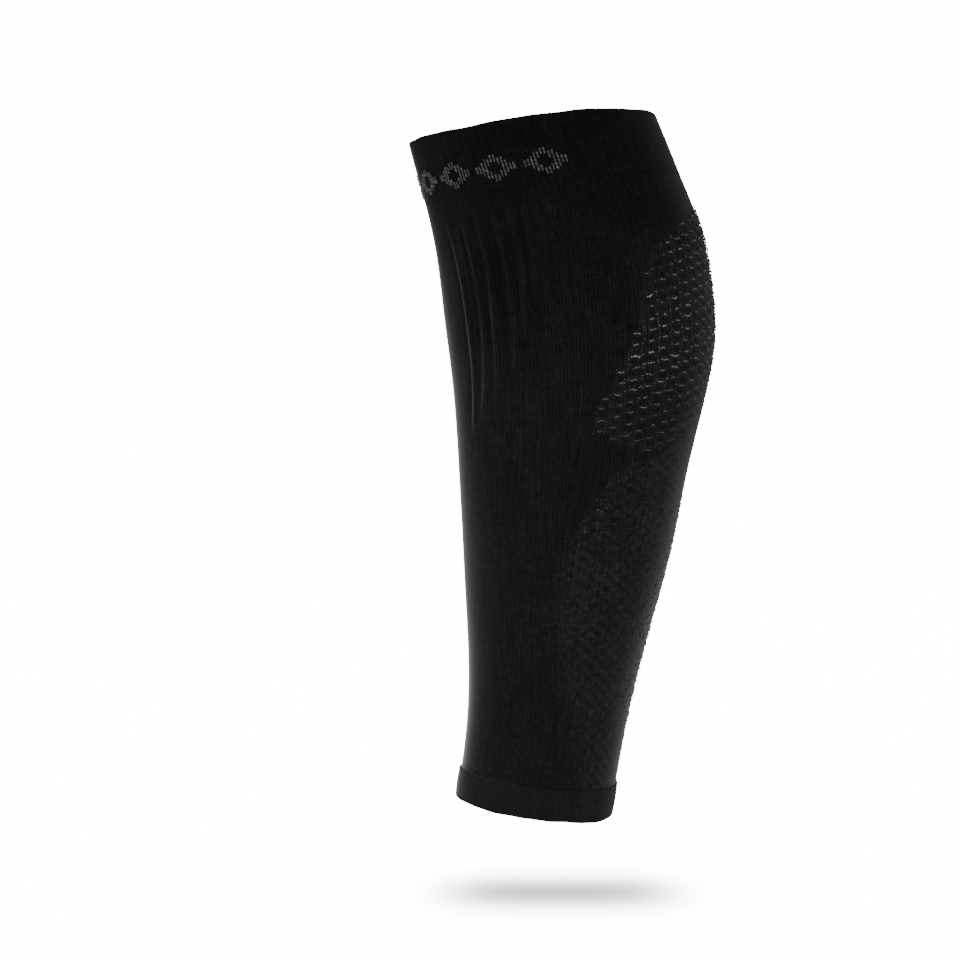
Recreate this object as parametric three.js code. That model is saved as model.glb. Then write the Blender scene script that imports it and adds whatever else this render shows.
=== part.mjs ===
// A knitted calf compression sleeve in the form that it takes on a leg: a seamless leg tube with raised ribs
// beside the shin, a turned knee band above it and a turned ankle hem below it.
// Millimetres, +Z up the leg, shin towards -Y, calf muscle towards +Y, one flank towards +X.
// The origin is the middle of the ankle opening.
import * as THREE from "three";

// Driving sizes of the whole sleeve
const sleeveLength = 316; // middle of the ankle opening to the middle of the knee opening
const calfDepth = 124; // shin to calf where the sleeve is fullest
const calfWidth = 116; // flank to flank where the sleeve is fullest
const shinNarrowing = 0.16; // how much narrower a section is towards the shin than towards the calf
const fabricThickness = 1.2; // the leg tube's single knit layer
const seamGap = 0.3; // between the leg tube and the turned edge at each end

// Knee band: a double layer turned over at the rim
const bandHeight = 28;
const bandThickness = 2.0;
const bandProud = 0.4; // how far it stands out from the leg tube

// Ankle hem: a double layer turned under at the rim
const hemHeight = 14;
const hemThickness = 2.1;
const hemProud = 0.9;

// Both turned edges
const edgeSoftening = 0.8; // rounding of the turned layer's free edge, where it meets the leg tube
const softeningSteps = 2; // flats round the free edge
const foldSteps = 4; // flats round each turned rim

// Shin ribs: cords knitted into each flank of the shin, the longest nearest to the shin
const ribSetback = 6.5; // first rib behind the shin line, seen from the side
const ribPitch = 7.4; // rib to rib, seen from the side
const ribWidth = 4;
const ribHeight = 0.8;
const ribDrop = 13; // lowest rib top below the knee band
const ribLength = 100; // the longest rib
const ribEndFade = 8; // length over which a rib rises out of the fabric
const ribTable = [
  // drop: share of ribDrop; length: share of ribLength
  { drop: 1.0, length: 1.0 },
  { drop: 0.83, length: 0.91 },
  { drop: 0.73, length: 0.8 },
  { drop: 0.62, length: 0.74 },
  { drop: 0.5, length: 0.66 },
  { drop: 0.44, length: 0.45 },
  { drop: 0.4, length: 0.31 },
  { drop: 0.4, length: 0.2 },
];

// The leg's form, as level sections from the ankle to the knee
const sectionTable = [
  // height: share of sleeveLength; middle: how far behind the origin, share of calfDepth;
  // depth: share of calfDepth; width: share of calfWidth; tilt: degrees, back edge up
  { height: 0.0, middle: 0.0, depth: 0.584, width: 0.53, tilt: -5.9 },
  { height: 0.1, middle: 0.038, depth: 0.591, width: 0.545, tilt: -4.1 },
  { height: 0.2, middle: 0.07, depth: 0.638, width: 0.6, tilt: -2.6 },
  { height: 0.3, middle: 0.099, depth: 0.713, width: 0.675, tilt: -0.9 },
  { height: 0.4, middle: 0.125, depth: 0.793, width: 0.755, tilt: 0.7 },
  { height: 0.5, middle: 0.143, depth: 0.855, width: 0.83, tilt: 2.0 },
  { height: 0.6, middle: 0.166, depth: 0.932, width: 0.91, tilt: 3.3 },
  { height: 0.68, middle: 0.174, depth: 0.987, width: 0.97, tilt: 4.5 },
  { height: 0.76, middle: 0.156, depth: 1.0, width: 1.0, tilt: 5.6 },
  { height: 0.84, middle: 0.122, depth: 0.983, width: 0.995, tilt: 6.2 },
  { height: 0.92, middle: 0.057, depth: 0.941, width: 0.975, tilt: 6.4 },
  { height: 1.0, middle: -0.017, depth: 0.913, width: 0.955, tilt: 6.3 },
];

// Fineness of the facets
const turnedEdgeColumns = 64;
const shinColumns = 2; // between the shin line and the first rib, each side
const backColumns = 10; // between the last rib and the calf line, each side
const plainRowStep = 14;
const ribRowStep = 5;
const innerRowStep = 24;

const knitMaterial = new THREE.MeshStandardMaterial({ color: 0x1a1a1b, roughness: 0.9, metalness: 0 });
const bandMaterial = new THREE.MeshStandardMaterial({ color: 0x151516, roughness: 0.92, metalness: 0 });
const hemMaterial = new THREE.MeshStandardMaterial({ color: 0x1b1f1e, roughness: 0.88, metalness: 0 });

// The section at a height is read off a smooth curve through the table's rows.
const sectionCurve = new THREE.CubicInterpolant(
  sectionTable.map((row) => row.height),
  sectionTable.flatMap((row) => [row.middle, row.depth, row.width, row.tilt]),
  4,
  new Float64Array(4),
);

function sectionAt(height) {
  const [middle, depth, width, tilt] = sectionCurve.evaluate(height / sleeveLength);
  return {
    middle: middle * calfDepth,
    halfDepth: (depth * calfDepth) / 2,
    halfWidth: (width * calfWidth) / 2,
    tilt: THREE.MathUtils.degToRad(tilt),
  };
}

// A point of the sleeve: turn is the angle round the section from the shin, and lift stands it out of the surface.
// Across the section, sin(turn - narrowing * sin(turn)) makes an egg that is narrow at the shin.
function skinPoint(height, turn, lift) {
  const { middle, halfDepth, halfWidth, tilt } = sectionAt(height);
  const warped = turn - shinNarrowing * Math.sin(turn);
  const across = halfWidth * Math.sin(warped);
  const back = -halfDepth * Math.cos(turn);
  const acrossSlope = halfWidth * Math.cos(warped) * (1 - shinNarrowing * Math.cos(turn));
  const backSlope = halfDepth * Math.sin(turn);
  const slope = Math.hypot(acrossSlope, backSlope);
  const x = across + (lift * backSlope) / slope;
  const inPlane = back - (lift * acrossSlope) / slope;
  return new THREE.Vector3(x, middle + inPlane * Math.cos(tilt), height + inPlane * Math.sin(tilt));
}

// One closed wall: a closed profile of heights and lifts is carried round the leg through the columns.
// A column on a rib's crest raises the profile's outer points by what that rib stands out there.
function carryRound(profile, columns) {
  const points = columns.flatMap(({ turn, rib }) =>
    profile.map(({ height, lift, outer }) => skinPoint(height, turn, lift + (rib && outer ? ribLift(height, rib) : 0))),
  );
  const index = [];
  for (let column = 0; column < columns.length; column++) {
    const here = column * profile.length;
    const next = ((column + 1) % columns.length) * profile.length;
    for (let row = 0; row < profile.length; row++) {
      const above = (row + 1) % profile.length;
      index.push(here + row, next + row, next + above);
      index.push(here + row, next + above, here + above);
    }
  }
  const geometry = new THREE.BufferGeometry().setFromPoints(points);
  geometry.setIndex(index);
  geometry.computeVertexNormals();
  return geometry;
}

// Heights from low to high in even steps of about the size asked for.
function heightsBetween(low, high, step) {
  const count = Math.max(1, Math.round((high - low) / step));
  return Array.from({ length: count + 1 }, (_, i) => low + ((high - low) * i) / count);
}

// Ribs lie a pitch apart seen from the side, so their turns follow from the section's depth.
const bandFoot = sleeveLength - bandHeight;
const ribs = ribTable.map(({ drop, length }, i) => ({
  turn: Math.acos(1 - (ribSetback + i * ribPitch) / (calfDepth / 2)),
  top: bandFoot - drop * ribDrop,
  foot: bandFoot - drop * ribDrop - length * ribLength,
}));
const calfMeanRadius = (calfDepth + calfWidth) / 4;
const ribHalfTurn = ribWidth / 2 / calfMeanRadius;

function ribLift(height, rib) {
  const fadeFoot = THREE.MathUtils.smoothstep(height, rib.foot, rib.foot + ribEndFade);
  const fadeTop = THREE.MathUtils.smoothstep(rib.top - height, 0, ribEndFade);
  return ribHeight * fadeFoot * fadeTop;
}

// Columns of the leg tube: one on each rib's crest and one at each of its feet, and plain ones elsewhere.
function tubeColumns() {
  const firstFoot = ribs[0].turn - ribHalfTurn;
  const lastFoot = ribs[ribs.length - 1].turn + ribHalfTurn;
  const flank = [];
  for (let i = 1; i <= shinColumns; i++) flank.push({ turn: (firstFoot * i) / (shinColumns + 1) });
  for (const rib of ribs) {
    flank.push({ turn: rib.turn - ribHalfTurn }, { turn: rib.turn, rib }, { turn: rib.turn + ribHalfTurn });
  }
  for (let i = 1; i < backColumns; i++) flank.push({ turn: lastFoot + ((Math.PI - lastFoot) * i) / backColumns });
  const otherFlank = flank.map(({ turn, rib }) => ({ turn: 2 * Math.PI - turn, rib })).reverse();
  return [{ turn: 0 }, ...flank, { turn: Math.PI }, ...otherFlank];
}

function evenColumns(count) {
  return Array.from({ length: count }, (_, i) => ({ turn: (2 * Math.PI * i) / count }));
}

function legTube() {
  const foot = hemHeight + seamGap;
  const top = bandFoot - seamGap;
  const ribbedFrom = Math.min(...ribs.map((rib) => rib.foot));
  const plainRows = heightsBetween(foot, ribbedFrom, plainRowStep);
  const ribbedRows = heightsBetween(ribbedFrom, top, ribRowStep).slice(1);
  const outside = [...plainRows, ...ribbedRows].map((height) => ({ height, lift: 0, outer: true }));
  const inside = heightsBetween(foot, top, innerRowStep).map((height) => ({ height, lift: -fabricThickness }));
  return carryRound([...outside, ...inside.reverse()], tubeColumns());
}

// A double layer between a free edge and a turned rim. The side is +1 where the rim is above the free edge.
function turnedEdge(freeEdge, rim, side, thickness, proud) {
  const radius = thickness / 2;
  const foldCentre = rim - side * radius;
  const middle = (freeEdge + foldCentre) / 2;
  const profile = [];
  for (let i = 0; i <= softeningSteps; i++) {
    const angle = ((Math.PI / 2) * i) / softeningSteps;
    profile.push({
      height: freeEdge + side * edgeSoftening * (1 - Math.cos(angle)),
      lift: proud - edgeSoftening * (1 - Math.sin(angle)),
    });
  }
  profile.push({ height: middle, lift: proud });
  for (let i = 0; i <= foldSteps; i++) {
    const angle = (Math.PI * i) / foldSteps;
    profile.push({
      height: foldCentre + side * radius * Math.sin(angle),
      lift: proud - radius + radius * Math.cos(angle),
    });
  }
  profile.push({ height: middle, lift: proud - thickness });
  profile.push({ height: freeEdge, lift: proud - thickness });
  return carryRound(side > 0 ? profile : profile.reverse(), evenColumns(turnedEdgeColumns));
}

function kneeBand() {
  return turnedEdge(bandFoot, sleeveLength, 1, bandThickness, bandProud);
}

function ankleHem() {
  return turnedEdge(hemHeight, 0, -1, hemThickness, hemProud);
}

function named(name, geometry, material) {
  const mesh = new THREE.Mesh(geometry, material);
  mesh.name = name;
  return mesh;
}

const sleeve = new THREE.Group();
sleeve.add(
  named("leg_tube", legTube(), knitMaterial),
  named("knee_band", kneeBand(), bandMaterial),
  named("ankle_hem", ankleHem(), hemMaterial),
);

export default sleeve;
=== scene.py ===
# A black knitted calf sleeve in the form that it takes on a leg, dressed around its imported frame.
# Metres, +Z up the leg, shin towards -Y, calf towards +Y; the origin is the middle of the ankle opening.
import math

import bpy
import numpy as np
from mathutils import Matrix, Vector


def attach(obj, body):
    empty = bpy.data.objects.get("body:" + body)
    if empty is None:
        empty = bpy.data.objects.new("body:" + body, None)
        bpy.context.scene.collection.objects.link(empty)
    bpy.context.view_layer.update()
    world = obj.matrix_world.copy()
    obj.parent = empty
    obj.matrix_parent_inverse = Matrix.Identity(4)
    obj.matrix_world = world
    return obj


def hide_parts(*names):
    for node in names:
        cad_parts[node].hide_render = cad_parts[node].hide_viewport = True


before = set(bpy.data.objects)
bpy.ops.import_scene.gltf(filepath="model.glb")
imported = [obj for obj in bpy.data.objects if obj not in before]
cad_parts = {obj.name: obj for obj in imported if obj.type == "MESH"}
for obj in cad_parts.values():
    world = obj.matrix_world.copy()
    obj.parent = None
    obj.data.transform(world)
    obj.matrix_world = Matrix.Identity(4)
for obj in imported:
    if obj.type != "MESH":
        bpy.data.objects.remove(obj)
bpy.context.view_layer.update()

# The leg's form: the same sections as the frame's solids

legForm = {
    "length": 0.316,  # middle of the ankle opening to the middle of the knee opening
    "calfDepth": 0.124,
    "calfWidth": 0.116,
    "shinNarrowing": 0.16,  # how much narrower a section is towards the shin
    "knitLoft": 0.0006,  # how far the cloth's outer face stands out beyond these sections
    "sections": [
        # height (share of length), back (share of calfDepth), depth, width (shares), tilt (degrees)
        (0.00, 0.000, 0.584, 0.530, -5.9),
        (0.10, 0.038, 0.591, 0.545, -4.1),
        (0.20, 0.070, 0.638, 0.600, -2.6),
        (0.30, 0.099, 0.713, 0.675, -0.9),
        (0.40, 0.125, 0.793, 0.755, 0.7),
        (0.50, 0.143, 0.855, 0.830, 2.0),
        (0.60, 0.166, 0.932, 0.910, 3.3),
        (0.68, 0.174, 0.987, 0.970, 4.5),
        (0.76, 0.156, 1.000, 1.000, 5.6),
        (0.84, 0.122, 0.983, 0.995, 6.2),
        (0.92, 0.057, 0.941, 0.975, 6.4),
        (1.00, -0.017, 0.913, 0.955, 6.3),
    ],
}
meanRadius = (legForm["calfDepth"] + legForm["calfWidth"]) / 4
rng = np.random.default_rng(11)


def smoothStep(low, high, value):
    # 0 below low, 1 above high, and 3t^2 - 2t^3 between them
    t = np.clip((value - low) / (high - low), 0, 1)
    return t * t * (3 - 2 * t)


def curveThrough(knots, values):
    # A natural cubic spline: the bends at the knots are those that make neighbouring slopes meet
    step = np.diff(knots)
    count = len(knots)
    inner = np.arange(1, count - 1)
    system = np.eye(count)
    system[inner, inner - 1] = step[:-1]
    system[inner, inner] = 2 * (step[:-1] + step[1:])
    system[inner, inner + 1] = step[1:]
    wanted = np.zeros(count)
    wanted[1:-1] = 6 * np.diff(np.diff(values) / step)
    bend = np.linalg.solve(system, wanted)

    def at(x):
        i = np.clip(np.searchsorted(knots, x) - 1, 0, count - 2)
        a = (knots[i + 1] - x) / step[i]
        b = 1 - a
        straight = a * values[i] + b * values[i + 1]
        return straight + ((a ** 3 - a) * bend[i] + (b ** 3 - b) * bend[i + 1]) * step[i] ** 2 / 6

    return at


sectionRows = np.array(legForm["sections"])
backAt, depthAt, widthAt, tiltAt = [curveThrough(sectionRows[:, 0], sectionRows[:, k]) for k in range(1, 5)]


def skin(height, turn, lift):
    # A section is an egg: width * sin(turn - narrowing * sin(turn)) across, -depth * cos(turn) back.
    # Lift stands a point out along the egg's own normal, and the section is then tilted about its middle.
    share = height / legForm["length"]
    halfDepth = depthAt(share) * legForm["calfDepth"] / 2
    halfWidth = widthAt(share) * legForm["calfWidth"] / 2
    tilt = np.radians(tiltAt(share))
    narrowing = legForm["shinNarrowing"]
    warped = turn - narrowing * np.sin(turn)
    acrossSlope = halfWidth * np.cos(warped) * (1 - narrowing * np.cos(turn))
    backSlope = halfDepth * np.sin(turn)
    slope = np.hypot(acrossSlope, backSlope)
    x = halfWidth * np.sin(warped) + lift * backSlope / slope
    inPlane = -halfDepth * np.cos(turn) - lift * acrossSlope / slope
    y = backAt(share) * legForm["calfDepth"] + inPlane * np.cos(tilt)
    return np.stack([x, y, height + inPlane * np.sin(tilt)], axis=-1)


def turnFromShin(turn):
    # the same on both flanks: 0 at the shin line and pi at the calf line
    return np.abs(np.arctan2(np.sin(turn), np.cos(turn)))


# Turning arrays into meshes


def addObject(name, data):
    thing = bpy.data.objects.new(name, data)
    bpy.context.scene.collection.objects.link(thing)
    return thing


def putMesh(name, points, faces, marks, uv=None, outward=None):
    # marks hold a value for each point, which the materials read by name, and outward holds a direction
    mesh = bpy.data.meshes.new(name)
    mesh.from_pydata(points.reshape(-1, 3).tolist(), [], faces)
    if uv is not None:
        corner = np.zeros(len(mesh.loops), np.int32)
        mesh.loops.foreach_get("vertex_index", corner)
        layer = mesh.uv_layers.new(name="knit")
        layer.data.foreach_set("uv", uv.reshape(-1, 2)[corner].astype(np.float32).ravel())
    for markName, values in marks.items():
        mark = mesh.attributes.new(markName, "FLOAT", "POINT")
        mark.data.foreach_set("value", values.astype(np.float32).ravel())
    if outward is not None:
        mark = mesh.attributes.new("outward", "FLOAT_VECTOR", "POINT")
        mark.data.foreach_set("vector", outward.astype(np.float32).ravel())
    mesh.polygons.foreach_set("use_smooth", np.ones(len(mesh.polygons), bool))
    mesh.update()
    return addObject(name, mesh)


def ringFaces(profileCount, columnCount):
    # a closed profile carried round a closed ring of columns: point (column, row) is number
    # column * profileCount + row
    column, row = np.meshgrid(np.arange(columnCount), np.arange(profileCount), indexing="ij")
    nextColumn = (column + 1) % columnCount
    nextRow = (row + 1) % profileCount
    corners = [(column, row), (nextColumn, row), (nextColumn, nextRow), (column, nextRow)]
    return np.stack([c * profileCount + r for c, r in corners], axis=-1).reshape(-1, 4).tolist()


def arcFromShin(points):
    # length along each ring of points from the shin line, the shorter way round, and the whole ring's
    stretch = np.linalg.norm(np.roll(points, -1, axis=0) - points, axis=2)
    along = np.cumsum(stretch, axis=0)
    total = along[-1]
    along = np.vstack([np.zeros((1, points.shape[1])), along[:-1]])
    return np.minimum(along, total - along), total


def spread(stretches):
    # values over several stretches, each (from, to, about this step), without the last end
    parts = []
    for low, high, step in stretches:
        parts.append(np.linspace(low, high, max(2, round((high - low) / step) + 1))[:-1])
    return np.concatenate(parts)


# Where the knit changes: openwork over the calf and a finer mesh under it

knitZones = {
    # turn from the shin (degrees), lower edge and upper edge of the calf's openwork (shares of length)
    "openwork": [
        (94.0, 0.568, 0.582), (97.5, 0.564, 0.612), (102.0, 0.558, 0.645),
        (106.5, 0.550, 0.680), (110.5, 0.545, 0.712), (112.5, 0.543, 0.745),
        (115.0, 0.541, 0.775), (120.0, 0.537, 0.803), (129.0, 0.539, 0.826),
        (144.0, 0.554, 0.844), (160.0, 0.569, 0.857), (180.0, 0.578, 0.868),
    ],
    # height (share of length) and turn from the shin (degrees) where the finer mesh begins
    "fineMesh": [
        (0.03, 118.0), (0.08, 112.0), (0.12, 105.0), (0.18, 97.0),
        (0.24, 90.5), (0.31, 85.0), (0.34, 84.5), (0.39, 87.0),
        (0.43, 92.5), (0.46, 96.8), (0.495, 104.8), (0.53, 118.0),
    ],
    "zoneGap": 0.012,  # plain rows between the two, as a share of length
    "softEdge": 0.005,
    "fineSoftShares": [0.0, 0.20, 0.34, 0.42, 1.0],
    "fineSoftTurns": [13.0, 13.0, 7.0, 3.0, 3.0],  # degrees over which the finer mesh begins, to each side
}
openworkRows = np.array(knitZones["openwork"])
fineRows = np.array(knitZones["fineMesh"])


def openworkMask(height, turn, soft=knitZones["softEdge"]):
    share = height / legForm["length"]
    degrees = np.degrees(turnFromShin(turn))
    low = np.interp(degrees, openworkRows[:, 0], openworkRows[:, 1])
    high = np.interp(degrees, openworkRows[:, 0], openworkRows[:, 2])
    inside = smoothStep(-soft, soft, share - low) * smoothStep(-soft, soft, high - share)
    return inside * (degrees > openworkRows[0, 0])


def fineMeshMask(height, turn):
    share = height / legForm["length"]
    degrees = np.degrees(turnFromShin(turn))
    start = np.interp(share, fineRows[:, 0], fineRows[:, 1])
    gap = knitZones["zoneGap"] * smoothStep(155, 120, degrees)  # none at the calf line
    top = np.interp(degrees, openworkRows[:, 0], openworkRows[:, 1]) - gap
    soft = np.interp(share, knitZones["fineSoftShares"], knitZones["fineSoftTurns"])
    return smoothStep(-1, 1, (degrees - start) / soft) * smoothStep(0, 0.01, top - share)


openwork = {
    "columnPitch": math.radians(6.35),  # turn from one column of dashes to the next
    "rowPitch": 0.0048,
    "fall": 0.0010,  # each column stands this much lower than its neighbour towards the shin
    "columnReach": 13,
    "heights": (0.16, 0.28),
    "pit": 0.00026,
    "pitLevel": 0.3,  # where the lattice's wave is this high the wall is as it was
    # lean and its swing (radians), length, radius and lift (metres), darkest and lightest shade
    "dash": (0.0, 0.12, 0.0050, 0.00035, 0.00036, (0.50, 1.05)),
    "bridge": (0.0, 0.3, 0.0020, 0.0002625, 0.000288, (0.15, 0.75)),
    "link": (math.pi / 2, 0.35, 0.0021, 0.00020, 0.00024, (0.08, 0.45)),
    "bridgeRise": 0.30,  # rows
    "linkRise": 0.25,
    "bridgeChance": 0.85,
    "linkChance": 0.6,
    "lowShares": (0.67, 0.57),  # shares of length between which the yarn thins and dims downwards
    "lowSlim": 0.3,
    "lowDim": 0.5,
    "calfTurns": (116, 156),  # degrees between which it is painted darker towards the calf line: painted shade
    "calfPaintedShade": 0.78,
    "borderReach": 0.035,  # share of length over which it brightens from the zone's edges
    "borderDim": 0.65,
    "specksPerCell": 5,
    "dashStyle": {"rings": 7, "sides": 6, "sink": 0.0003, "beads": 2.8, "beading": 0.34, "sway": 0.00024},
    "speckStyle": {"rings": 3, "sides": 5, "sink": 0.0002, "beads": 1.0, "beading": 0.2, "sway": 0.0001},
}

fineMesh = {
    "columnPitch": math.radians(5.25),
    "rowPitch": 0.0052,
    "fall": 0.0003,
    "columnReach": 18,
    "heights": (0.014, 0.17),
    "lowest": 0.017,
    "tucksPerCell": 5,
    "rowScatter": 0.16,
    "tuckLength": 0.0021,
    "tuckRadius": 0.00021,
    "tuckLift": 0.00012,
    "ankleChance": 0.25,  # share of the tucks that are kept at the ankle
    "chanceShares": (0.05, 0.36),  # shares of length between which it rises to all of them
    "calfTurns": (105, 140),  # degrees between which half of them go
    "edgeReach": 16,  # degrees over which the tucks are brighter behind the mesh's edge
    "edgeShares": (0.28, 0.46),  # shares of length between which that begins
    "style": {"rings": 5, "sides": 5, "sink": 0.00018, "beads": 1.6, "beading": 0.25, "sway": 0.0003},
}


def fallOf(lattice, column):
    # the columns fall towards the calf line, and the 6 rounds the corner that they would make there
    return lattice["fall"] * np.sqrt(column ** 2.0 + 6)


def cellPlace(lattice, height, turn):
    # places in a lattice: column number from the calf line and row number from the ankle
    column = (np.pi - turnFromShin(turn)) / lattice["columnPitch"]
    return column, (height - fallOf(lattice, column)) / lattice["rowPitch"]


def latticeCells(lattice):
    # turn and height of every cell: odd columns stand half a row higher
    lowest, highest = lattice["heights"]
    columns = np.arange(-lattice["columnReach"], lattice["columnReach"] + 1)
    rows = np.arange(int(lowest / lattice["rowPitch"]) - 3, int(highest / lattice["rowPitch"]) + 2)
    column, row = np.meshgrid(columns, rows, indexing="ij")
    row = row + 0.5 * (column % 2)
    turn = np.pi - column * lattice["columnPitch"]
    height = row * lattice["rowPitch"] + fallOf(lattice, column)
    return turn.ravel(), height.ravel()


def cellWave(lattice, height, turn):
    # +1 on a dash and -1 in a hole: the product of a cosine over two columns and a cosine over one row
    column, row = cellPlace(lattice, height, turn)
    return np.cos(np.pi * column) * np.cos(2 * np.pi * row)


# Tone of the knit over the whole leg, and a painted sheen: the colour is painted lighter where the surface
# turns away from the view, more on the shin side, where the lamps light the rim

knitTone = {
    "shares": [0.0, 0.12, 0.30, 0.55, 0.70, 0.80, 0.86, 0.91],
    "tones": [1.34, 1.34, 1.30, 1.24, 1.05, 0.90, 0.80, 0.70],
    "paintedSheenShares": [0.0, 0.043, 0.048, 0.12, 0.30, 0.50, 0.64, 0.75, 0.88, 1.0],
    "paintedSheenShin": [0.72, 0.72, 1.25, 1.20, 0.78, 0.76, 0.70, 0.68, 0.62, 0.47],
    "paintedSheenCalf": [0.08, 0.10, 0.34, 0.34, 0.34, 0.14, 0.05, 0.05, 0.03, 0.08],
    # the power of that painted sheen: the higher, the narrower
    "sharpShin": [4.0, 4.0, 3.8, 3.9, 4.3, 4.8, 5.6, 6.8, 9.5, 10.5],
    "sharpCalf": [3.4, 3.4, 3.6, 3.6, 3.6, 3.6, 3.8, 4.5, 7.0, 8.5],
    # darker patches: share of length, turn (degrees), half height (share), half width (degrees), depth
    "patches": [
        (0.50, 92.0, 0.055, 15.0, 0.14),
        (0.86, 126.0, 0.035, 22.0, 0.14),
        (0.76, 102.0, 0.060, 9.0, 0.14),
        (0.77, 53.0, 0.125, 20.0, 0.32),
    ],
}


def toneOf(height, turn):
    share = height / legForm["length"]
    degrees = np.degrees(turnFromShin(turn))
    tone = np.interp(share, knitTone["shares"], knitTone["tones"])
    for middle, across, halfHeight, halfTurn, depth in knitTone["patches"]:
        away = ((share - middle) / halfHeight) ** 2 + ((degrees - across) / halfTurn) ** 2
        tone = tone * (1 - depth * np.exp(-away ** 2))
    return tone


def shinToCalf(height, turn, kind):
    # from the shin's values to the calf's by (1 - cos(turn)) / 2
    share = height / legForm["length"]
    shin = np.interp(share, knitTone["paintedSheenShares"], knitTone[kind + "Shin"])
    calf = np.interp(share, knitTone["paintedSheenShares"], knitTone[kind + "Calf"])
    return shin + (calf - shin) * (1 - np.cos(turn)) / 2


# Leg tube

legTube = {
    "foot": 0.0143,
    "top": 0.28782,
    "thickness": 0.0012,
    "ribHeight": 0.00070,
    "ribHalfWidth": 0.00160,
    "crestHighlightHalfWidth": 0.0021,  # of the painted highlight along a rib
    "grooveDepth": 0.00030,
    "grooveSetback": 0.0028,
    "grooveHalfWidth": 0.0013,
    "bandFoot": 0.288,
    "ribDrop": 0.013,
    "ribLength": 0.100,
    "ribFade": 0.009,
    "ribWander": 0.00055,
    # how far each rib starts under the band (share of ribDrop), how long it is (share of ribLength),
    # its turn at the top and at the foot, how far its middle bows to the calf (degrees) and its strength
    "ribs": [
        (0.74, 1.03, 28.5, 31.0, 5.2, 0.72),
        (0.56, 0.96, 40.2, 39.8, 3.8, 0.80),
        (0.56, 0.88, 48.6, 48.4, 2.4, 1.15),
        (0.50, 0.80, 58.4, 57.8, 1.3, 1.25),
        (0.48, 0.68, 65.2, 63.4, 1.4, 1.15),
        (0.44, 0.45, 73.0, 69.5, 0.8, 0.80),
        (0.40, 0.31, 78.5, 74.5, 0.5, 0.55),
        (0.40, 0.20, 84.0, 82.0, 0.3, 0.45),
    ],
    "softness": 0.00022,
    "endRow": 0.00012,  # a close row at both ends, so that the end's corner shades no wider than this
    "walePitch": 0.0016,  # where the leg is fullest
    # columns between these turns (degrees), about so wide (radians)
    "columnSteps": [(0, 16, 0.022), (16, 92, 0.0085), (92, 180, 0.0152)],
    "closeShares": (0.52, 0.86),  # shares of length between which the rows are close
    "rowSteps": (0.0032, 0.00092, 0.0022),
    "innerRows": 9,
}


def ribRelief(height, turn):
    # Each rib is a bell-shaped cord with a shallow bell-shaped groove on both sides, faded out at its ends,
    # and it wanders and swells a little along its length
    fromShin = turnFromShin(turn)
    relief = np.zeros(np.broadcast(height, turn).shape)
    crestHighlight = np.zeros_like(relief)
    for i, (drop, length, topTurn, footTurn, bow, strength) in enumerate(legTube["ribs"]):
        top = legTube["bandFoot"] - drop * legTube["ribDrop"]
        reach = length * legTube["ribLength"]
        along = np.clip((top - height) / reach, 0, 1)
        ribTurn = np.radians(topTurn + (footTurn - topTurn) * along + bow * np.sin(math.pi * along))
        fade = smoothStep(1, 1 - 2 * legTube["ribFade"] / reach, along)
        fade = fade * smoothStep(top, top - legTube["ribFade"], height)
        wander = legTube["ribWander"] * np.sin(height / 0.017 + 2.1 * i) * np.sin(height / 0.041 + i)
        away = (fromShin - ribTurn) * meanRadius - wander
        bell = np.exp(-(away / legTube["ribHalfWidth"]) ** 2)
        groove = np.exp(-((np.abs(away) - legTube["grooveSetback"]) / legTube["grooveHalfWidth"]) ** 2)
        swell = strength * (0.75 + 0.25 * np.sin(height / 0.0075 + 4 * i) * np.sin(height / 0.019 + i))
        relief += fade * (legTube["ribHeight"] * swell * bell - legTube["grooveDepth"] * groove)
        # a painted highlight along each rib's crest, where the rib would catch the light
        crestHighlight += fade * swell * np.exp(-(away / legTube["crestHighlightHalfWidth"]) ** 2)
    return relief, crestHighlight


def softRelief(height, turn):
    # slow waves of the cloth, a few sines of different lengths up and round the leg
    waves = np.sin(3 * turn + height / 0.031) + 0.7 * np.sin(5 * turn - height / 0.023 + 1.3)
    waves += 0.6 * np.sin(2 * turn + height / 0.013 + 0.4) * np.sin(height / 0.06)
    return legTube["softness"] * waves


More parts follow.
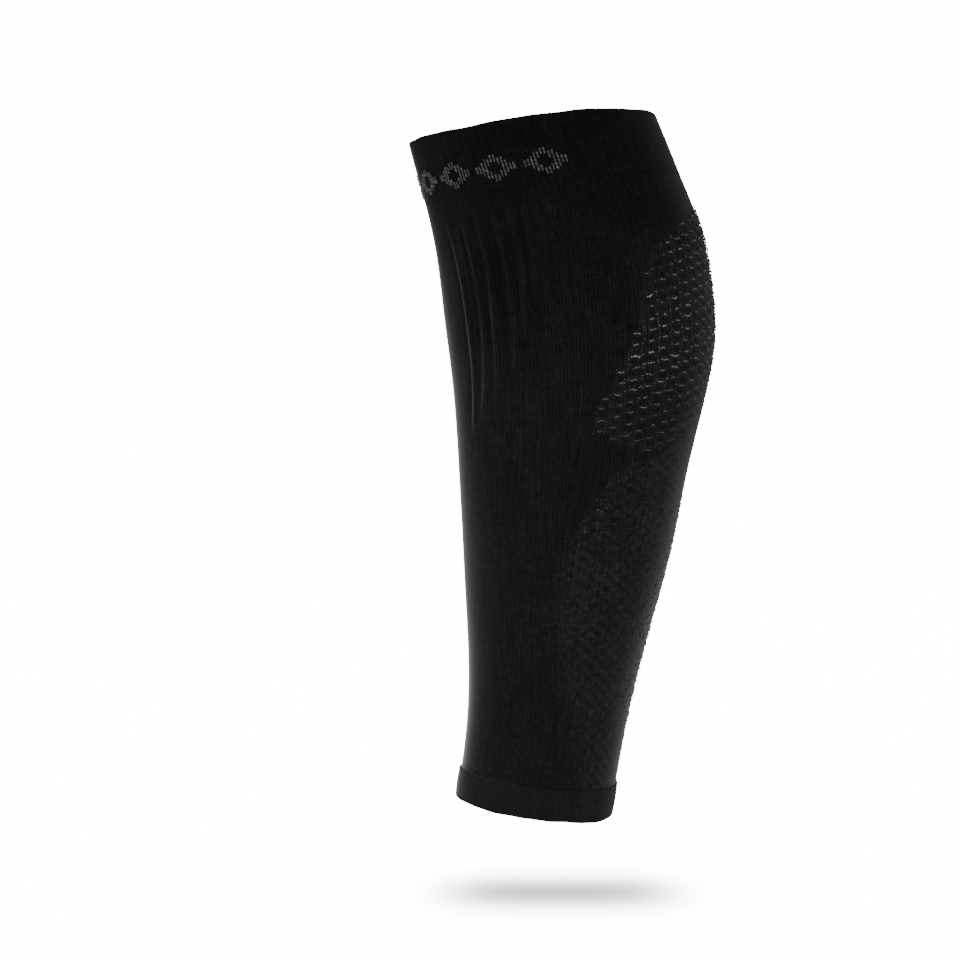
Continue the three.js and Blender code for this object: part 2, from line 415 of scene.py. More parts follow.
def makeLegTube():
    radians = math.radians
    flank = spread([(radians(low), radians(high), step) for low, high, step in legTube["columnSteps"]])
    turns = np.concatenate([flank, [math.pi], 2 * math.pi - flank[:0:-1]])
    firstRow = legTube["foot"] + legTube["endRow"]
    lastRow = legTube["top"] - legTube["endRow"]
    breaks = [firstRow, *[share * legForm["length"] for share in legTube["closeShares"]], lastRow]
    heights = spread(zip(breaks[:-1], breaks[1:], legTube["rowSteps"]))
    heights = np.concatenate([[legTube["foot"]], heights, [lastRow, legTube["top"]]])
    turn, height = np.meshgrid(turns, heights, indexing="ij")
    relief, crestHighlight = ribRelief(height, turn)
    inOpenwork = openworkMask(height, turn)
    wave = cellWave(openwork, height, turn)
    pits = openwork["pit"] * (wave - openwork["pitLevel"]) * inOpenwork
    outer = skin(height, turn, legForm["knitLoft"] + relief + softRelief(height, turn) + pits)
    innerHeights = np.linspace(legTube["top"], legTube["foot"], legTube["innerRows"])
    turnIn, heightIn = np.meshgrid(turns, innerHeights, indexing="ij")
    inner = skin(heightIn, turnIn, softRelief(heightIn, turnIn) - legTube["thickness"])
    points = np.concatenate([outer, inner], axis=1)
    arc, girth = arcFromShin(points)
    halfWales = round(girth.max() / 2 / legTube["walePitch"])
    across = arc / girth * 2 * halfWales * legTube["walePitch"]
    uv = np.stack([across, np.concatenate([height, heightIn], axis=1)], axis=-1)
    cellColumn, cellRow = cellPlace(fineMesh, height, turn)
    # each mark on the outer face, and its one value inside
    faceMarks = {
        "ribCrestHighlight": (crestHighlight, 0),
        "openwork": (inOpenwork, 0),
        # the openwork's pits are painted darker: painted shade
        "pitShade": (inOpenwork * np.clip(-wave, 0, 1), 0),
        "fineMesh": (fineMeshMask(height, turn), 0),
        "cellColumn": (cellColumn, 0),
        "cellRow": (cellRow, 0),
        "tone": (toneOf(height, turn), 1),
        "paintedSheen": (shinToCalf(height, turn, "paintedSheen"), 0),
        "sharpness": (shinToCalf(height, turn, "sharp"), 4),
    }
    marks = {}
    for name, (outside, inside) in faceMarks.items():
        marks[name] = np.concatenate([outside, np.full(turnIn.shape, inside)], axis=1)
    return putMesh("leg_tube_knit", points, ringFaces(points.shape[1], len(turns)), marks, uv)


# Knee band and ankle hem: a double layer between a free edge and a turned rim

kneeBand = {
    "name": "knee_band_knit",
    "freeEdge": 0.28788,
    "rim": 0.3164,
    "side": 1,
    "thickness": 0.0020,
    "proud": 0.00004,
    "softening": 0.00020,
    "columns": 720,
    "faceRows": 34,
    "rimWander": 0.00022,
    "swell": 0.00015,
    "paintedSheenEnd": 0.88,  # share of the way to the rim where the painted sheen stops
    "edgeTone": 0.10,  # how much lighter the free edge is
    "paintedCalfRim": 0.0,  # how much lighter it is at the calf: a painted rim light
    "black": 0.0132,
    "tint": (1, 1, 1.02),
    "walePitch": 0.00155,
    "fuzz": 0.4,
    "contrast": 1.0,
}

ankleHem = {
    "name": "ankle_hem_knit",
    "freeEdge": 0.0141,
    "rim": -0.0007,
    "side": -1,
    "thickness": 0.0021,
    "proud": 0.0009,
    "softening": 0.0008,
    "columns": 560,
    "faceRows": 22,
    "rimWander": 0.0002,
    "swell": 0.00025,
    "paintedSheenEnd": 0.80,
    "edgeTone": 0.06,
    "paintedCalfRim": 0.16,
    "black": 0.0262,
    "tint": (0.98, 1.01, 1.0),
    "walePitch": 0.0011,
    "fuzz": 0.5,
    "contrast": 0.5,
}

bothEdges = {
    "cornerPoints": 6,
    "foldPoints": 13,
    "waves": [(4, 0.7, 1.0), (9, 2.2, 0.6), (17, 0.0, 0.4)],  # of the rim: number round, phase and share
    "dullReach": 0.10,  # share of the way to the rim over which the free edge's painted sheen is weaker
    "dullShare": 0.5,
    "toneReach": 0.45,
    "calfTurns": (85, 135),  # degrees between which the calf's painted rim light begins
}


def makeTurnedEdge(edge):
    # the profile runs up the outer face from a rounded free edge, round the fold and back down
    side = edge["side"]
    proud = edge["proud"]
    softening = edge["softening"]
    radius = edge["thickness"] / 2
    foldCentre = edge["rim"] - side * radius
    quarter = np.linspace(0, math.pi / 2, bothEdges["cornerPoints"])
    half = np.linspace(0, math.pi, bothEdges["foldPoints"])
    face = np.linspace(0, 1, edge["faceRows"])[1:-1]
    edgeHeight = edge["freeEdge"] + side * softening * (1 - np.cos(quarter))
    edgeLift = proud - softening * (1 - np.sin(quarter))
    faceHeight = edgeHeight[-1] + face * (foldCentre - edgeHeight[-1])
    faceLift = proud + edge["swell"] * np.sin(math.pi * face)
    foldHeight = foldCentre + side * radius * np.sin(half)
    foldLift = proud - radius + radius * np.cos(half)
    backHeight = np.append(faceHeight[::-1], edge["freeEdge"])
    backLift = np.full_like(backHeight, proud - edge["thickness"])
    profileHeight = np.concatenate([edgeHeight, faceHeight, foldHeight, backHeight])
    profileLift = np.concatenate([edgeLift, faceLift, foldLift, backLift])
    if side < 0:
        profileHeight, profileLift = profileHeight[::-1], profileLift[::-1]
    turns = np.arange(edge["columns"]) * 2 * math.pi / edge["columns"]
    turn, height = np.meshgrid(turns, profileHeight, indexing="ij")
    lift = np.broadcast_to(profileLift, turn.shape)
    towardsRim = np.abs(height - edge["freeEdge"]) / abs(edge["rim"] - edge["freeEdge"])
    wander = sum(share * np.sin(number * turn + phase) for number, phase, share in bothEdges["waves"])
    moved = height + edge["rimWander"] * wander * towardsRim
    points = skin(moved, turn, legForm["knitLoft"] + lift + softRelief(height, turn))
    arc, girth = arcFromShin(points)
    uv = np.stack([arc * (girth.mean() / girth), height], axis=-1)
    # the painted sheen: weaker near the free edge and gone towards the fold
    nearEdge = bothEdges["dullShare"] * smoothStep(bothEdges["dullReach"], 0.0, towardsRim)
    dull = np.maximum(smoothStep(edge["paintedSheenEnd"], 1.0, towardsRim), nearEdge)
    edgeTone = edge["edgeTone"] * smoothStep(bothEdges["toneReach"], 0, towardsRim)
    # the calf side is painted lighter: painted rim light
    paintedCalfRim = edge["paintedCalfRim"] * smoothStep(*bothEdges["calfTurns"], np.degrees(turnFromShin(turn)))
    marks = {
        "tone": 1 + edgeTone + paintedCalfRim,
        "paintedSheen": shinToCalf(height, turn, "paintedSheen") * (1 - dull),
        "sharpness": shinToCalf(height, turn, "sharp"),
    }
    return putMesh(edge["name"], points, ringFaces(points.shape[1], len(turns)), marks, uv)


# Yarn that stands out of the surface: many short rods in one mesh


def makeRods(name, rods, style):
    # Each rod follows the leg's surface through its centre. Along it, at t from -1 to 1, it stands
    # lift * (1 - t^2) out and sinks in at its ends. Its radius is an ellipse's, sqrt(1 - t^2), swelled into
    # beads by a cosine. A sine sways it sideways, and lean turns it up or down.
    rings, sides, sink = style["rings"], style["sides"], style["sink"]
    loft = legForm["knitLoft"]
    count = len(rods["height"])
    at = {key: values[:, None] for key, values in rods.items()}
    t = np.linspace(-1, 1, rings + 2)[1:-1]
    beads = np.cos(style["beads"] * math.pi * t + at["phase"])
    radius = at["radius"] * np.sqrt(1 - t ** 2) * (1 + style["beading"] * beads)
    sway = style["sway"] * np.sin(1.6 * math.pi * t + 2 * at["phase"]) * (1 - t ** 2)
    cosLean, sinLean = np.cos(at["lean"]), np.sin(at["lean"])
    half = at["length"] / 2
    base = skin(rods["height"], rods["turn"], 0.0)
    pace = 1e-4  # a small turn, to find how far a turn goes round here
    turnStep = np.linalg.norm(skin(rods["height"], rods["turn"] + pace, 0.0) - base, axis=1)[:, None] / pace
    turn = at["turn"] + (cosLean * t * half - sinLean * sway) / turnStep
    height = at["height"] + sinLean * t * half + cosLean * sway
    lift = loft + at["lift"] * (1 - t ** 2) - sink * t ** 2
    around = np.arange(sides) * 2 * math.pi / sides
    ringHeight = height[:, :, None] + (radius * cosLean)[:, :, None] * np.sin(around)
    ringTurn = turn[:, :, None] - (radius * sinLean / turnStep)[:, :, None] * np.sin(around)
    ringLift = lift[:, :, None] + radius[:, :, None] * np.cos(around)
    body = skin(ringHeight, ringTurn, ringLift).reshape(count, rings * sides, 3)
    ends = np.array([-1, 1])
    poleTurn = at["turn"] + ends * cosLean * half / turnStep
    poleHeight = at["height"] + ends * sinLean * half
    poles = skin(poleHeight, poleTurn, np.full_like(poleTurn, loft - sink))
    points = np.concatenate([body, poles], axis=1)
    here = np.arange(rings * sides).reshape(rings, sides)
    after = np.roll(here, -1, axis=1)
    quads = np.stack([here[:-1], after[:-1], after[1:], here[1:]], axis=-1).reshape(-1, 4)
    pole = np.full(sides, rings * sides)
    caps = np.concatenate([
        np.stack([pole, after[0], here[0]], axis=-1),
        np.stack([pole + 1, here[-1], after[-1]], axis=-1),
    ])
    perRod = rings * sides + 2
    start = (np.arange(count) * perRod)[:, None, None]
    faces = (start + quads).reshape(-1, 4).tolist() + (start + caps).reshape(-1, 3).tolist()
    # each rod is painted lighter on its beads and half as light at its ends, where it sinks into the cloth:
    # painted light and shade
    ringShade = np.repeat(at["shade"] * (0.72 + 0.28 * beads), sides, axis=1)
    endShade = np.repeat(at["shade"] * 0.5, 2, axis=1)
    outward = skin(rods["height"], rods["turn"], 0.001) - base
    outward = outward / np.linalg.norm(outward, axis=1)[:, None]
    marks = {
        "shade": np.concatenate([ringShade, endShade], axis=1),
        "paintedSheen": np.repeat(shinToCalf(rods["height"], rods["turn"], "paintedSheen"), perRod),
        "sharpness": np.repeat(shinToCalf(rods["height"], rods["turn"], "sharp"), perRod),
    }
    return putMesh(name, points, faces, marks, outward=np.repeat(outward, perRod, axis=0))


def makeOpenwork():
    # a wavy dash at each lattice place, a short bridge half a column on, thin upright links between the
    # dashes' ends, all dimmer low down and painted darker towards the calf line as painted shade, and stray
    # specks
    turn, height = latticeCells(openwork)
    keep = openworkMask(height, turn) > 0.45
    turn, height = turn[keep], height[keep]
    side = np.where(turn <= np.pi, 1, -1)

    def lowDown(height):
        return smoothStep(*openwork["lowShares"], height / legForm["length"])

    def dimming(height, turn):
        # towards the calf line the yarn is painted darker: painted shade on the side turned from the light
        towardsCalfLine = smoothStep(*openwork["calfTurns"], np.degrees(turnFromShin(turn)))
        nearBorder = 1 - openworkMask(height, turn, openwork["borderReach"])
        dim = (1 - openwork["calfPaintedShade"] * towardsCalfLine) * (1 - openwork["lowDim"] * lowDown(height))
        return dim * (1 - openwork["borderDim"] * nearBorder)

    def rodsAt(turn, height, lean, leanSwing, length, radius, lift, shade):
        count = len(turn)
        slim = 1 - openwork["lowSlim"] * lowDown(height)
        return {
            "turn": turn + rng.normal(0, 0.008, count),
            "height": height + rng.normal(0, 0.00025, count),
            "lean": lean + rng.normal(0, leanSwing, count),
            "length": slim * length * rng.uniform(0.65, 1.15, count),
            "radius": slim * radius * rng.uniform(0.8, 1.2, count),
            "lift": lift * rng.uniform(0.6, 1.2, count),
            "shade": rng.uniform(*shade, count) * dimming(height, turn),
            "phase": rng.uniform(0, 2 * math.pi, count),
        }

    def someRodsAt(turn, height, chance, kind):
        keep = (openworkMask(height, turn) > 0.5) & (rng.random(len(turn)) < chance)
        return rodsAt(turn[keep], height[keep], *kind)

    dashes = rodsAt(turn, height, *openwork["dash"])
    bridgeTurn = turn + side * openwork["columnPitch"] / 2
    bridgeHeight = height + openwork["bridgeRise"] * openwork["rowPitch"]
    bridges = someRodsAt(bridgeTurn, bridgeHeight, openwork["bridgeChance"], openwork["bridge"])
    linkTurn = np.tile(turn - openwork["columnPitch"] / 2, 2)
    rise = openwork["linkRise"] * openwork["rowPitch"]
    linkHeight = np.concatenate([height + rise, height - rise])
    links = someRodsAt(linkTurn, linkHeight, openwork["linkChance"], openwork["link"])
    rods = {key: np.concatenate([dashes[key], bridges[key], links[key]]) for key in dashes}
    dashPiece = makeRods("calf_openwork", rods, openwork["dashStyle"])

    each = openwork["specksPerCell"]
    count = len(turn) * each
    specks = {
        "turn": np.repeat(turn, each) + openwork["columnPitch"] * rng.uniform(-0.5, 0.5, count),
        "height": np.repeat(height, each) + openwork["rowPitch"] * rng.uniform(-0.5, 0.5, count),
        "lean": rng.normal(0, 0.9, count),
        "length": rng.uniform(0.0007, 0.0018, count),
        "radius": rng.uniform(0.00017, 0.00028, count),
        "lift": rng.uniform(0.0001, 0.00025, count),
        "shade": 0.03 + 0.22 * rng.random(count) ** 2,
        "phase": rng.uniform(0, 2 * math.pi, count),
    }
    return dashPiece, makeRods("calf_specks", specks, openwork["speckStyle"])


def makeFineMesh():
    # irregular tucks scattered round each lattice place, brightest at the mesh's upper edge
    turn, height = latticeCells(fineMesh)
    each = fineMesh["tucksPerCell"]
    count = len(turn) * each
    turn = np.repeat(turn, each) + fineMesh["columnPitch"] * rng.uniform(-0.5, 0.5, count)
    height = np.repeat(height, each) + fineMesh["rowPitch"] * rng.normal(0, fineMesh["rowScatter"], count)
    strength = fineMeshMask(height, turn)
    share = height / legForm["length"]
    degrees = np.degrees(turnFromShin(turn))
    rising = smoothStep(*fineMesh["chanceShares"], share)
    chance = fineMesh["ankleChance"] + (1 - fineMesh["ankleChance"]) * rising
    chance = chance * (1 - 0.5 * smoothStep(*fineMesh["calfTurns"], degrees))
    keep = (strength > 0.15) & (height > fineMesh["lowest"]) & (rng.random(count) < chance)
    turn, height, strength, share, degrees = np.stack([turn, height, strength, share, degrees])[:, keep]
    count = len(turn)
    pastEdge = degrees - np.interp(share, fineRows[:, 0], fineRows[:, 1])
    nearEdge = np.exp(-(pastEdge / fineMesh["edgeReach"]) ** 2) * smoothStep(*fineMesh["edgeShares"], share)
    rods = {
        "turn": turn,
        "height": height,
        "lean": rng.normal(0, 0.75, count),
        "length": fineMesh["tuckLength"] * rng.uniform(0.45, 1.25, count),
        "radius": fineMesh["tuckRadius"] * rng.uniform(0.75, 1.2, count),
        "lift": fineMesh["tuckLift"] * rng.uniform(0.5, 1.2, count),
        "shade": strength * (0.14 + 0.5 * rng.random(count) ** 3 + 1.2 * nearEdge * rng.random(count) ** 4),
        "phase": rng.uniform(0, 2 * math.pi, count),
    }
    return makeRods("shin_fine_mesh", rods, fineMesh["style"])


bandTicks = {
    "from": math.radians(-11),
    "radius": meanRadius * 0.955,
    "low": 0.2921,
    "stitchPitch": 0.00158,
    "coursePitch": 0.00138,
    "diamonds": 5,
    "stitches": 14,  # from one diamond to the next
    "courses": 8,
    "halfWidth": 6.2,  # of a diamond, in stitches
    "outline": (0.5, 1.04),
    "stitchLength": 0.0021,
    "stitchRadius": 0.00050,
    "style": {"rings": 6, "sides": 6, "sink": -0.0001, "beads": 1.0, "beading": 0.1, "sway": 0.00006},
}


def makeBandTicks():
    # a row of plain hollow diamonds: |x| / half width + |y| / half height lies between the outline's limits
    stitches, courses = bandTicks["stitches"], bandTicks["courses"]
    count = bandTicks["diamonds"] * stitches
    stitch, course = np.meshgrid(np.arange(count), np.arange(courses), indexing="ij")
    x = np.abs((stitch + 0.5) % stitches - stitches / 2) / bandTicks["halfWidth"]
    y = np.abs(course - (courses - 1) / 2) / (courses / 2)
    keep = (x + y > bandTicks["outline"][0]) & (x + y < bandTicks["outline"][1])
    count = int(keep.sum())
    rods = {
        "turn": bandTicks["from"] + stitch[keep] * bandTicks["stitchPitch"] / bandTicks["radius"],
        "height": bandTicks["low"] + course[keep] * bandTicks["coursePitch"],
        "lean": math.pi / 2 + rng.normal(0, 0.14, count),
        "length": bandTicks["stitchLength"] * rng.uniform(0.8, 1.1, count),
        "radius": bandTicks["stitchRadius"] * rng.uniform(0.85, 1.15, count),
        "lift": rng.uniform(0.0003, 0.0005, count),
        "shade": rng.uniform(0.5, 1, count),
        "phase": rng.uniform(0, 2 * math.pi, count),
    }
    return makeRods("band_stitches", rods, bandTicks["style"])


legTubePiece = makeLegTube()
kneeBandPiece = makeTurnedEdge(kneeBand)
ankleHemPiece = makeTurnedEdge(ankleHem)
openworkPiece, specksPiece = makeOpenwork()
fineMeshPiece = makeFineMesh()
ticksPiece = makeBandTicks()
pieces = [legTubePiece, kneeBandPiece, ankleHemPiece, openworkPiece, specksPiece, fineMeshPiece, ticksPiece]
for piece in pieces:
    piece.data.calc_loop_triangles()
    print("piece", piece.name, len(piece.data.loop_triangles), "triangles")


# Materials


def addNode(tree, kind, **settings):
    node = tree.nodes.new(kind)
    for key, value in settings.items():
        setattr(node, key, value)
    return node


def feed(tree, socket, value):
    # a value is a number or another node's output
    if isinstance(value, bpy.types.NodeSocket):
        tree.links.new(value, socket)
    else:
        socket.default_value = value


def compute(tree, operation, *values, clamp=False):
    node = addNode(tree, "ShaderNodeMath", operation=operation, use_clamp=clamp)
    for socket, value in zip(node.inputs, values):
        feed(tree, socket, value)
    return node.outputs[0]


def product(tree, value, *factors):
    for factor in factors:
        value = compute(tree, "MULTIPLY", value, factor)
    return value


def scaled(tree, value, share, rest=1.0):
    # value * share + rest
    return compute(tree, "MULTIPLY_ADD", value, share, rest)


def noiseAt(tree, place, scale, detail, dimensions="3D"):
    node = addNode(tree, "ShaderNodeTexNoise", noise_dimensions=dimensions)
    for name, value in (("Vector", place), ("Scale", scale), ("Detail", detail)):
        feed(tree, node.inputs[name], value)
    return node.outputs[0]


def objectPlace(tree):
    return addNode(tree, "ShaderNodeTexCoord").outputs["Object"]


def startGroup(name, numbers, results, places=()):
    # a node group with inputs for numbers and places and with numbers as its results
    group = bpy.data.node_groups.new(name, "ShaderNodeTree")
    sockets = [(places, "INPUT", "NodeSocketVector"), (numbers, "INPUT", "NodeSocketFloat"),
               (results, "OUTPUT", "NodeSocketFloat")]
    for names, way, kind in sockets:
        for socketName in names:
            group.interface.new_socket(name=socketName, in_out=way, socket_type=kind)
    return group, addNode(group, "NodeGroupInput").outputs, addNode(group, "NodeGroupOutput").inputs


stitchShape = {
    "wobble": 0.55,  # how far a wale strays, in wales, and the noise's scale
    "wobbleScale": 260,
    "lean": 1.3,  # of a stitch's legs, in courses to a wale
    "groove": 0.35,  # depth of the groove between the two legs
    "fuzzScale": 2600,
    "shade": (0.68, 0.31),  # painted shade from the height, darker in the grooves: share and rest
    # uneven yarn: noise drawn out into long and short upright streaks, and a fainter one along the courses
    "streaks": [((560, 55, 1), 0.85), ((680, 280, 1), 0.95), ((120, 620, 1), 0.6)],
}


def buildKnitGroup():
    # Rows of knit stitches on a map in metres. Across a wale the height is a rounded hump, split by a
    # shallow middle groove, and the two legs of each stitch lean so that their rows make a V.
    numbers = ["Wale Pitch", "Course Pitch", "Stitch Depth", "Fuzz"]
    group, inn, out = startGroup("knitStitches", numbers, ["Height", "Shade"], ["Place"])
    split = addNode(group, "ShaderNodeSeparateXYZ")
    group.links.new(inn["Place"], split.inputs[0])
    wobble = compute(group, "SUBTRACT", noiseAt(group, inn["Place"], stitchShape["wobbleScale"], 2), 0.5)
    shift = product(group, wobble, stitchShape["wobble"])
    wale = compute(group, "ADD", compute(group, "DIVIDE", split.outputs[0], inn["Wale Pitch"]), shift)
    course = compute(group, "DIVIDE", split.outputs[1], inn["Course Pitch"])
    # from 0 in a wale's middle to 0.5 between two wales
    across = compute(group, "ABSOLUTE", compute(group, "SUBTRACT", compute(group, "FRACT", wale), 0.5))
    hump = compute(group, "COSINE", product(group, across, math.pi))
    middle = compute(group, "SMOOTH_MIN", product(group, across, 6.0), 1.0, 0.4)
    leaning = compute(group, "ADD", course, product(group, across, stitchShape["lean"]))
    leg = scaled(group, compute(group, "COSINE", product(group, leaning, 2 * math.pi)), 0.5, 0.5)
    flat = compute(group, "SUBTRACT", 1.0, inn["Stitch Depth"])
    stitched = compute(group, "ADD", flat, product(group, leg, inn["Stitch Depth"]))
    grooved = scaled(group, middle, stitchShape["groove"], 1 - stitchShape["groove"])
    fuzz = compute(group, "SUBTRACT", noiseAt(group, inn["Place"], stitchShape["fuzzScale"], 2), 0.5)
    rough = product(group, fuzz, inn["Fuzz"])
    height = compute(group, "ADD", product(group, hump, stitched, grooved), rough)
    group.links.new(height, out["Height"])
    # the shade is painted from the height: darker in the grooves and lighter on the tops, as painted shade
    # and light
    shade = compute(group, "MULTIPLY_ADD", height, *stitchShape["shade"], clamp=True)
    for stretch, share in stitchShape["streaks"]:
        drawn = addNode(group, "ShaderNodeMapping")
        drawn.inputs["Scale"].default_value = stretch
        group.links.new(inn["Place"], drawn.inputs["Vector"])
        streak = noiseAt(group, drawn.outputs[0], 1.0, 1, "2D")
        shade = product(group, shade, scaled(group, streak, share, 1 - share / 2))
    group.links.new(shade, out["Shade"])
    return group


def buildPatchGroup():
    # slow, uneven change of tone, as dye and stretch make it: a noise on object coordinates
    group, inn, out = startGroup("unevenTone", ["Scale", "Amount"], ["Tone"])
    noise = noiseAt(group, objectPlace(group), inn["Scale"], 4)
    swing = product(group, compute(group, "SUBTRACT", noise, 0.5), inn["Amount"])
    group.links.new(scaled(group, swing, 2.0), out["Tone"])
    return group


knitGroup = buildKnitGroup()
toneGroup = buildPatchGroup()


def addGroup(tree, group, inputs):
    node = addNode(tree, "ShaderNodeGroup", node_tree=group)
    for name, value in inputs.items():
        feed(tree, node.inputs[name], value)
    return node.outputs


def startMaterial(name, roughness, specular=0.1, sheen=0.0):
    material = bpy.data.materials.new(name)
    material.use_nodes = True
    shader = material.node_tree.nodes["Principled BSDF"]
    shader.inputs["Roughness"].default_value = roughness
    shader.inputs["Specular IOR Level"].default_value = specular
    shader.inputs["Sheen Weight"].default_value = sheen
    shader.inputs["Sheen Roughness"].default_value = 0.30
    return material, material.node_tree, shader


def tinted(tree, value, tint=(1, 1, 1)):
    # a grey value times a tint, as a colour
    node = addNode(tree, "ShaderNodeCombineXYZ")
    for slot, share in zip(node.inputs, tint):
        tree.links.new(compute(tree, "MULTIPLY", value, share), slot)
    return node.outputs[0]


def bumpFrom(tree, shader, height, distance):
    bump = addNode(tree, "ShaderNodeBump")
    bump.inputs["Distance"].default_value = distance
    tree.links.new(height, bump.inputs["Height"])
    tree.links.new(bump.outputs[0], shader.inputs["Normal"])


def attribute(tree, name, output="Fac"):
    return addNode(tree, "ShaderNodeAttribute", attribute_name=name).outputs[output]


knitLook = {
    "tubeBlack": 0.0218,
    # how much lighter the tube is where each mark is 1; the rib crests' painted highlight and the pits'
    # painted shade are among them
    "lighter": {"ribCrestHighlight": 0.68, "pitShade": -0.45, "fineMesh": 0.55, "openwork": 0.60},
    "cellShadeSwing": 0.30,  # painted light and shade over the fine mesh's cells: lighter on their bumps, darker in their hollows
    "cellRelief": 0.9,
    "cellStray": 1.4,
    "sheen": 0.01,
    "paintedSheenCap": 0.6,
    "twist": (1.2, 0.3),  # of a yarn's shade: the noise's share and the rest
    "darkestYarn": 0.008,
}


def addPaintedSheen(tree, value, outward=None):
    # a painted sheen along the edges of the view: adds the painted sheen mark * facing^sharpness to the
    # colour, with facing 1 where the view grazes
    facing = addNode(tree, "ShaderNodeLayerWeight")
    facing.inputs["Blend"].default_value = 0.5
    if outward is not None:
        tree.links.new(outward, facing.inputs["Normal"])
    edge = compute(tree, "POWER", facing.outputs["Facing"], attribute(tree, "sharpness"))
    lit = compute(tree, "MULTIPLY_ADD", edge, attribute(tree, "paintedSheen"), value)
    return compute(tree, "MINIMUM", lit, knitLook["paintedSheenCap"])


def startKnit(name, roughness, wale, course, depth, fuzz, toneScale, toneAmount):
    # a black material with the knit's stitches on its map and an uneven tone
    material, tree, shader = startMaterial(name, roughness, sheen=knitLook["sheen"])
    place = addNode(tree, "ShaderNodeUVMap", uv_map="knit").outputs[0]
    sizes = {"Wale Pitch": wale, "Course Pitch": course, "Stitch Depth": depth, "Fuzz": fuzz}
    knit = addGroup(tree, knitGroup, {"Place": place, **sizes})
    tone = addGroup(tree, toneGroup, {"Scale": toneScale, "Amount": toneAmount})
    return material, tree, shader, knit, product(tree, tone["Tone"], attribute(tree, "tone"))


def makeTubeMaterial():
    material, tree, shader, knit, tone = startKnit(
        "black tube knit", 0.85, legTube["walePitch"], 0.0013, 0.45, 0.7, 28, 0.35)
    # the fine mesh's cells: the same wave as the lattice's, made uneven by noise; its swing in colour is
    # painted light and shade following the bump
    uneven = noiseAt(tree, objectPlace(tree), 210, 3)
    stray = scaled(tree, uneven, knitLook["cellStray"], -knitLook["cellStray"] / 2)
    waves = []
    for mark, period in (("cellColumn", math.pi), ("cellRow", 2 * math.pi)):
        strayed = compute(tree, "ADD", attribute(tree, mark), stray)
        waves.append(compute(tree, "COSINE", product(tree, strayed, period)))
    cells = product(tree, *waves, attribute(tree, "fineMesh"))
    lighter = [scaled(tree, attribute(tree, mark), share) for mark, share in knitLook["lighter"].items()]
    value = product(tree, knit["Shade"], tone, *lighter, scaled(tree, cells, knitLook["cellShadeSwing"]),
                    knitLook["tubeBlack"])
    tree.links.new(tinted(tree, addPaintedSheen(tree, value), (1.0, 1.0, 1.02)), shader.inputs["Base Color"])
    bumpFrom(tree, shader, scaled(tree, cells, knitLook["cellRelief"], knit["Height"]), 0.00022)
    return material


def makeEdgeMaterial(name, edge):
    material, tree, shader, knit, tone = startKnit(
        name, 0.88, edge["walePitch"], 0.0012, 0.35, edge["fuzz"], 40, 0.3)
    shade = compute(tree, "POWER", knit["Shade"], edge["contrast"])
    value = addPaintedSheen(tree, product(tree, shade, tone, edge["black"]))
    tree.links.new(tinted(tree, value, edge["tint"]), shader.inputs["Base Color"])
    bumpFrom(tree, shader, knit["Height"], 0.00025)
    return material


def makeYarnMaterial(name, grey, roughness, specular):
    # a yarn's colour follows each rod's own shade, and a fine noise on object coordinates gives its twist
    material, tree, shader = startMaterial(name, roughness, specular)
    twist = noiseAt(tree, objectPlace(tree), 1500, 2)
    value = product(tree, scaled(tree, twist, *knitLook["twist"]), attribute(tree, "shade"))
    value = scaled(tree, value, grey, knitLook["darkestYarn"])
    # the yarn takes the same painted sheen as the cloth under it, so it takes the leg's own normal
    value = addPaintedSheen(tree, value, attribute(tree, "outward", "Vector"))
    tree.links.new(tinted(tree, value), shader.inputs["Base Color"])
    bumpFrom(tree, shader, twist, 0.00015)
    return material


openworkYarn = makeYarnMaterial("openwork yarn", 0.57, 0.55, 0.25)
finishes = [
    (legTubePiece, makeTubeMaterial(), "tube_knit"),
    (kneeBandPiece, makeEdgeMaterial("black band knit", kneeBand), "band_knit"),
    (ankleHemPiece, makeEdgeMaterial("black hem knit", ankleHem), "hem_knit"),
    (openworkPiece, openworkYarn, "tube_knit"),
    (specksPiece, openworkYarn, "tube_knit"),
    (fineMeshPiece, makeYarnMaterial("fine mesh yarn", 0.17, 0.65, 0.15), "tube_knit"),
    (ticksPiece, makeYarnMaterial("grey stitch yarn", 0.24, 0.8, 0.2), "grey_yarn"),
]
for piece, material, slotName in finishes:
    piece.data.materials.append(material)
    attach(piece, "root")
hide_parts("leg_tube")
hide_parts("knee_band")
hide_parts("ankle_hem")
# an unworn sleeve is narrower: a leg stretches the knit by about a third round, and hardly along
print("materials and riding done")

# Floor, light and camera

studio = {
    "floorDrop": 0.0443,  # how far the ankle opening hangs above the floor
    "floorRings": (0.3, 1.0, 4.0, 30.0),
    "floorSides": 96,
    "floorGrey": 0.9,
    "white": 15.6,  # brightness of floor and backdrop as the camera sees them
    "air": 0.50,  # brightness of the air around the sleeve, which lights it softly from all sides
    "shadowDepth": 2.50,  # of the soft shadow: exp(-depth) is what is left of the white in its middle
    "shadowMiddle": 0.0124,  # towards the calf
    "shadowReach": (0.0245, 0.055),
    "cameraPlace": (0.8083, -0.0259, 0.2160),
    "cameraAim": (0.0, -0.0259, 0.1539),
    "sensor": 36.0,
    "metresToPixel": 0.0004706,
    "frame": 960,
}

lamps = {
    # place, aim, size (metres) and power (watts)
    "back left": ((-0.55, -0.80, 0.25), (0.0, -0.03, 0.16), (0.35, 1.2), 1.2),
    "back right": ((-0.75, 0.75, 0.30), (0.0, 0.04, 0.16), (0.35, 1.0), 2.0),
    "front left": ((0.90, -0.90, 0.55), (0.0, -0.02, 0.16), (0.6, 0.8), 1.6),
}


def pointAt(name, data, place, aim):
    holder = addObject(name, data)
    holder.location = place
    holder.rotation_euler = (Vector(aim) - Vector(place)).to_track_quat("-Z", "Y").to_euler()
    return holder


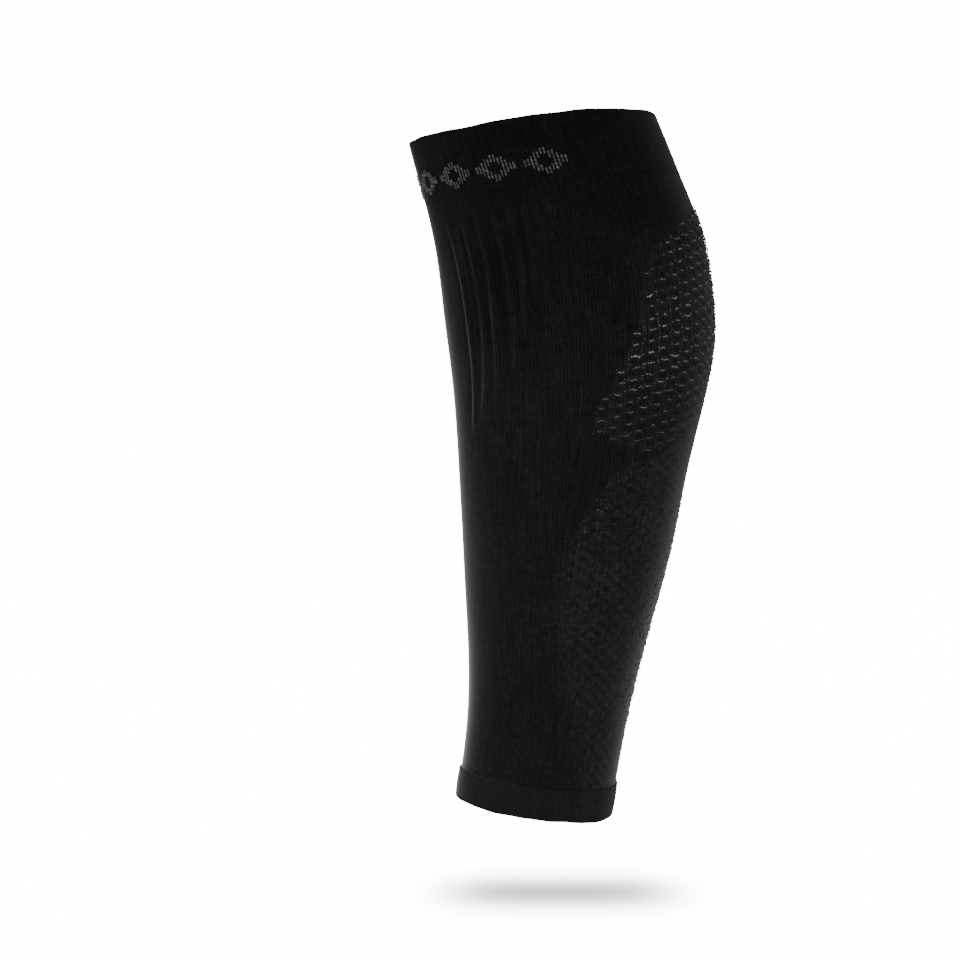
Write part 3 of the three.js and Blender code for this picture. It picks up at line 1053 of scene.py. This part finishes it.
def makeFloor():
    # a wide white disc, which only the camera sees, so that it doesn't light the sleeve from below
    sides = studio["floorSides"]
    angle = np.arange(sides) * 2 * math.pi / sides
    radius = np.array(studio["floorRings"])[:, None]
    x, y = radius * np.cos(angle), radius * np.sin(angle)
    points = np.stack([x, y, np.full_like(x, -studio["floorDrop"])], axis=-1).reshape(-1, 3)
    points = np.vstack([points, [[0, 0, -studio["floorDrop"]]]])
    here = np.arange(x.size).reshape(x.shape)
    after = np.roll(here, -1, axis=1)
    quads = np.stack([here[:-1], here[1:], after[1:], after[:-1]], axis=-1).reshape(-1, 4)
    fan = np.stack([np.full(sides, x.size), here[0], after[0]], axis=-1)
    mesh = bpy.data.meshes.new("studio_floor")
    mesh.from_pydata(points.tolist(), [], quads.tolist() + fan.tolist())
    floor = addObject("studio_floor", mesh)
    floor.visible_diffuse = False
    floor.visible_glossy = False
    material, tree, shader = startMaterial("pale floor", 1.0, 0.0)
    # the soft oval shadow: white * exp(-depth * exp(-(x / reach)^2 - ((y - middle) / reach)^4))
    split = addNode(tree, "ShaderNodeSeparateXYZ")
    tree.links.new(objectPlace(tree), split.inputs[0])
    reachX, reachY = studio["shadowReach"]
    across = compute(tree, "POWER", compute(tree, "DIVIDE", split.outputs[0], reachX), 2.0)
    along = compute(tree, "SUBTRACT", split.outputs[1], studio["shadowMiddle"])
    along = compute(tree, "POWER", compute(tree, "DIVIDE", along, reachY), 4.0)
    shade = compute(tree, "EXPONENT", product(tree, compute(tree, "ADD", across, along), -1.0))
    left = compute(tree, "EXPONENT", product(tree, shade, -studio["shadowDepth"]))
    tree.links.new(tinted(tree, product(tree, left, studio["floorGrey"])), shader.inputs["Base Color"])
    floor.data.materials.append(material)
    return floor


def lightFloor(floor):
    # a sun for the floor alone lights it evenly, and the floor's own colour holds the soft shadow
    light = bpy.data.lights.new("floor light", "SUN")
    light.energy = studio["white"] * math.pi / studio["floorGrey"]
    light.use_shadow = False
    holder = pointAt("floor light", light, (0, 0, 1), (0, 0, 0))
    receivers = bpy.data.collections.new("floor only")
    receivers.objects.link(floor)
    holder.light_linking.receiver_collection = receivers


def addLamps():
    for name, (place, aim, size, power) in lamps.items():
        light = bpy.data.lights.new(name, "AREA")
        light.shape = "RECTANGLE"
        light.size, light.size_y = size
        light.energy = power
        pointAt(name, light, place, aim).visible_camera = False


def addCamera():
    data = bpy.data.cameras.new("camera")
    place, aim = Vector(studio["cameraPlace"]), Vector(studio["cameraAim"])
    data.sensor_width = studio["sensor"]
    data.lens = (aim - place).length / studio["metresToPixel"] / studio["frame"] * studio["sensor"]
    data.clip_end = 100
    bpy.context.scene.camera = pointAt("camera", data, place, aim)


def lightAir():
    # the camera sees the air as white as the floor, and everything else gets its softer light
    world = bpy.data.worlds.new("studio air")
    bpy.context.scene.world = world
    world.use_nodes = True
    tree = world.node_tree
    background = tree.nodes["Background"]
    background.inputs["Color"].default_value = (1, 1, 1, 1)
    seen = addNode(tree, "ShaderNodeLightPath").outputs["Is Camera Ray"]
    strength = compute(tree, "MULTIPLY_ADD", seen, studio["white"] - studio["air"], studio["air"])
    tree.links.new(strength, background.inputs["Strength"])


lightFloor(makeFloor())
lightAir()
addLamps()
addCamera()
print("stage set")
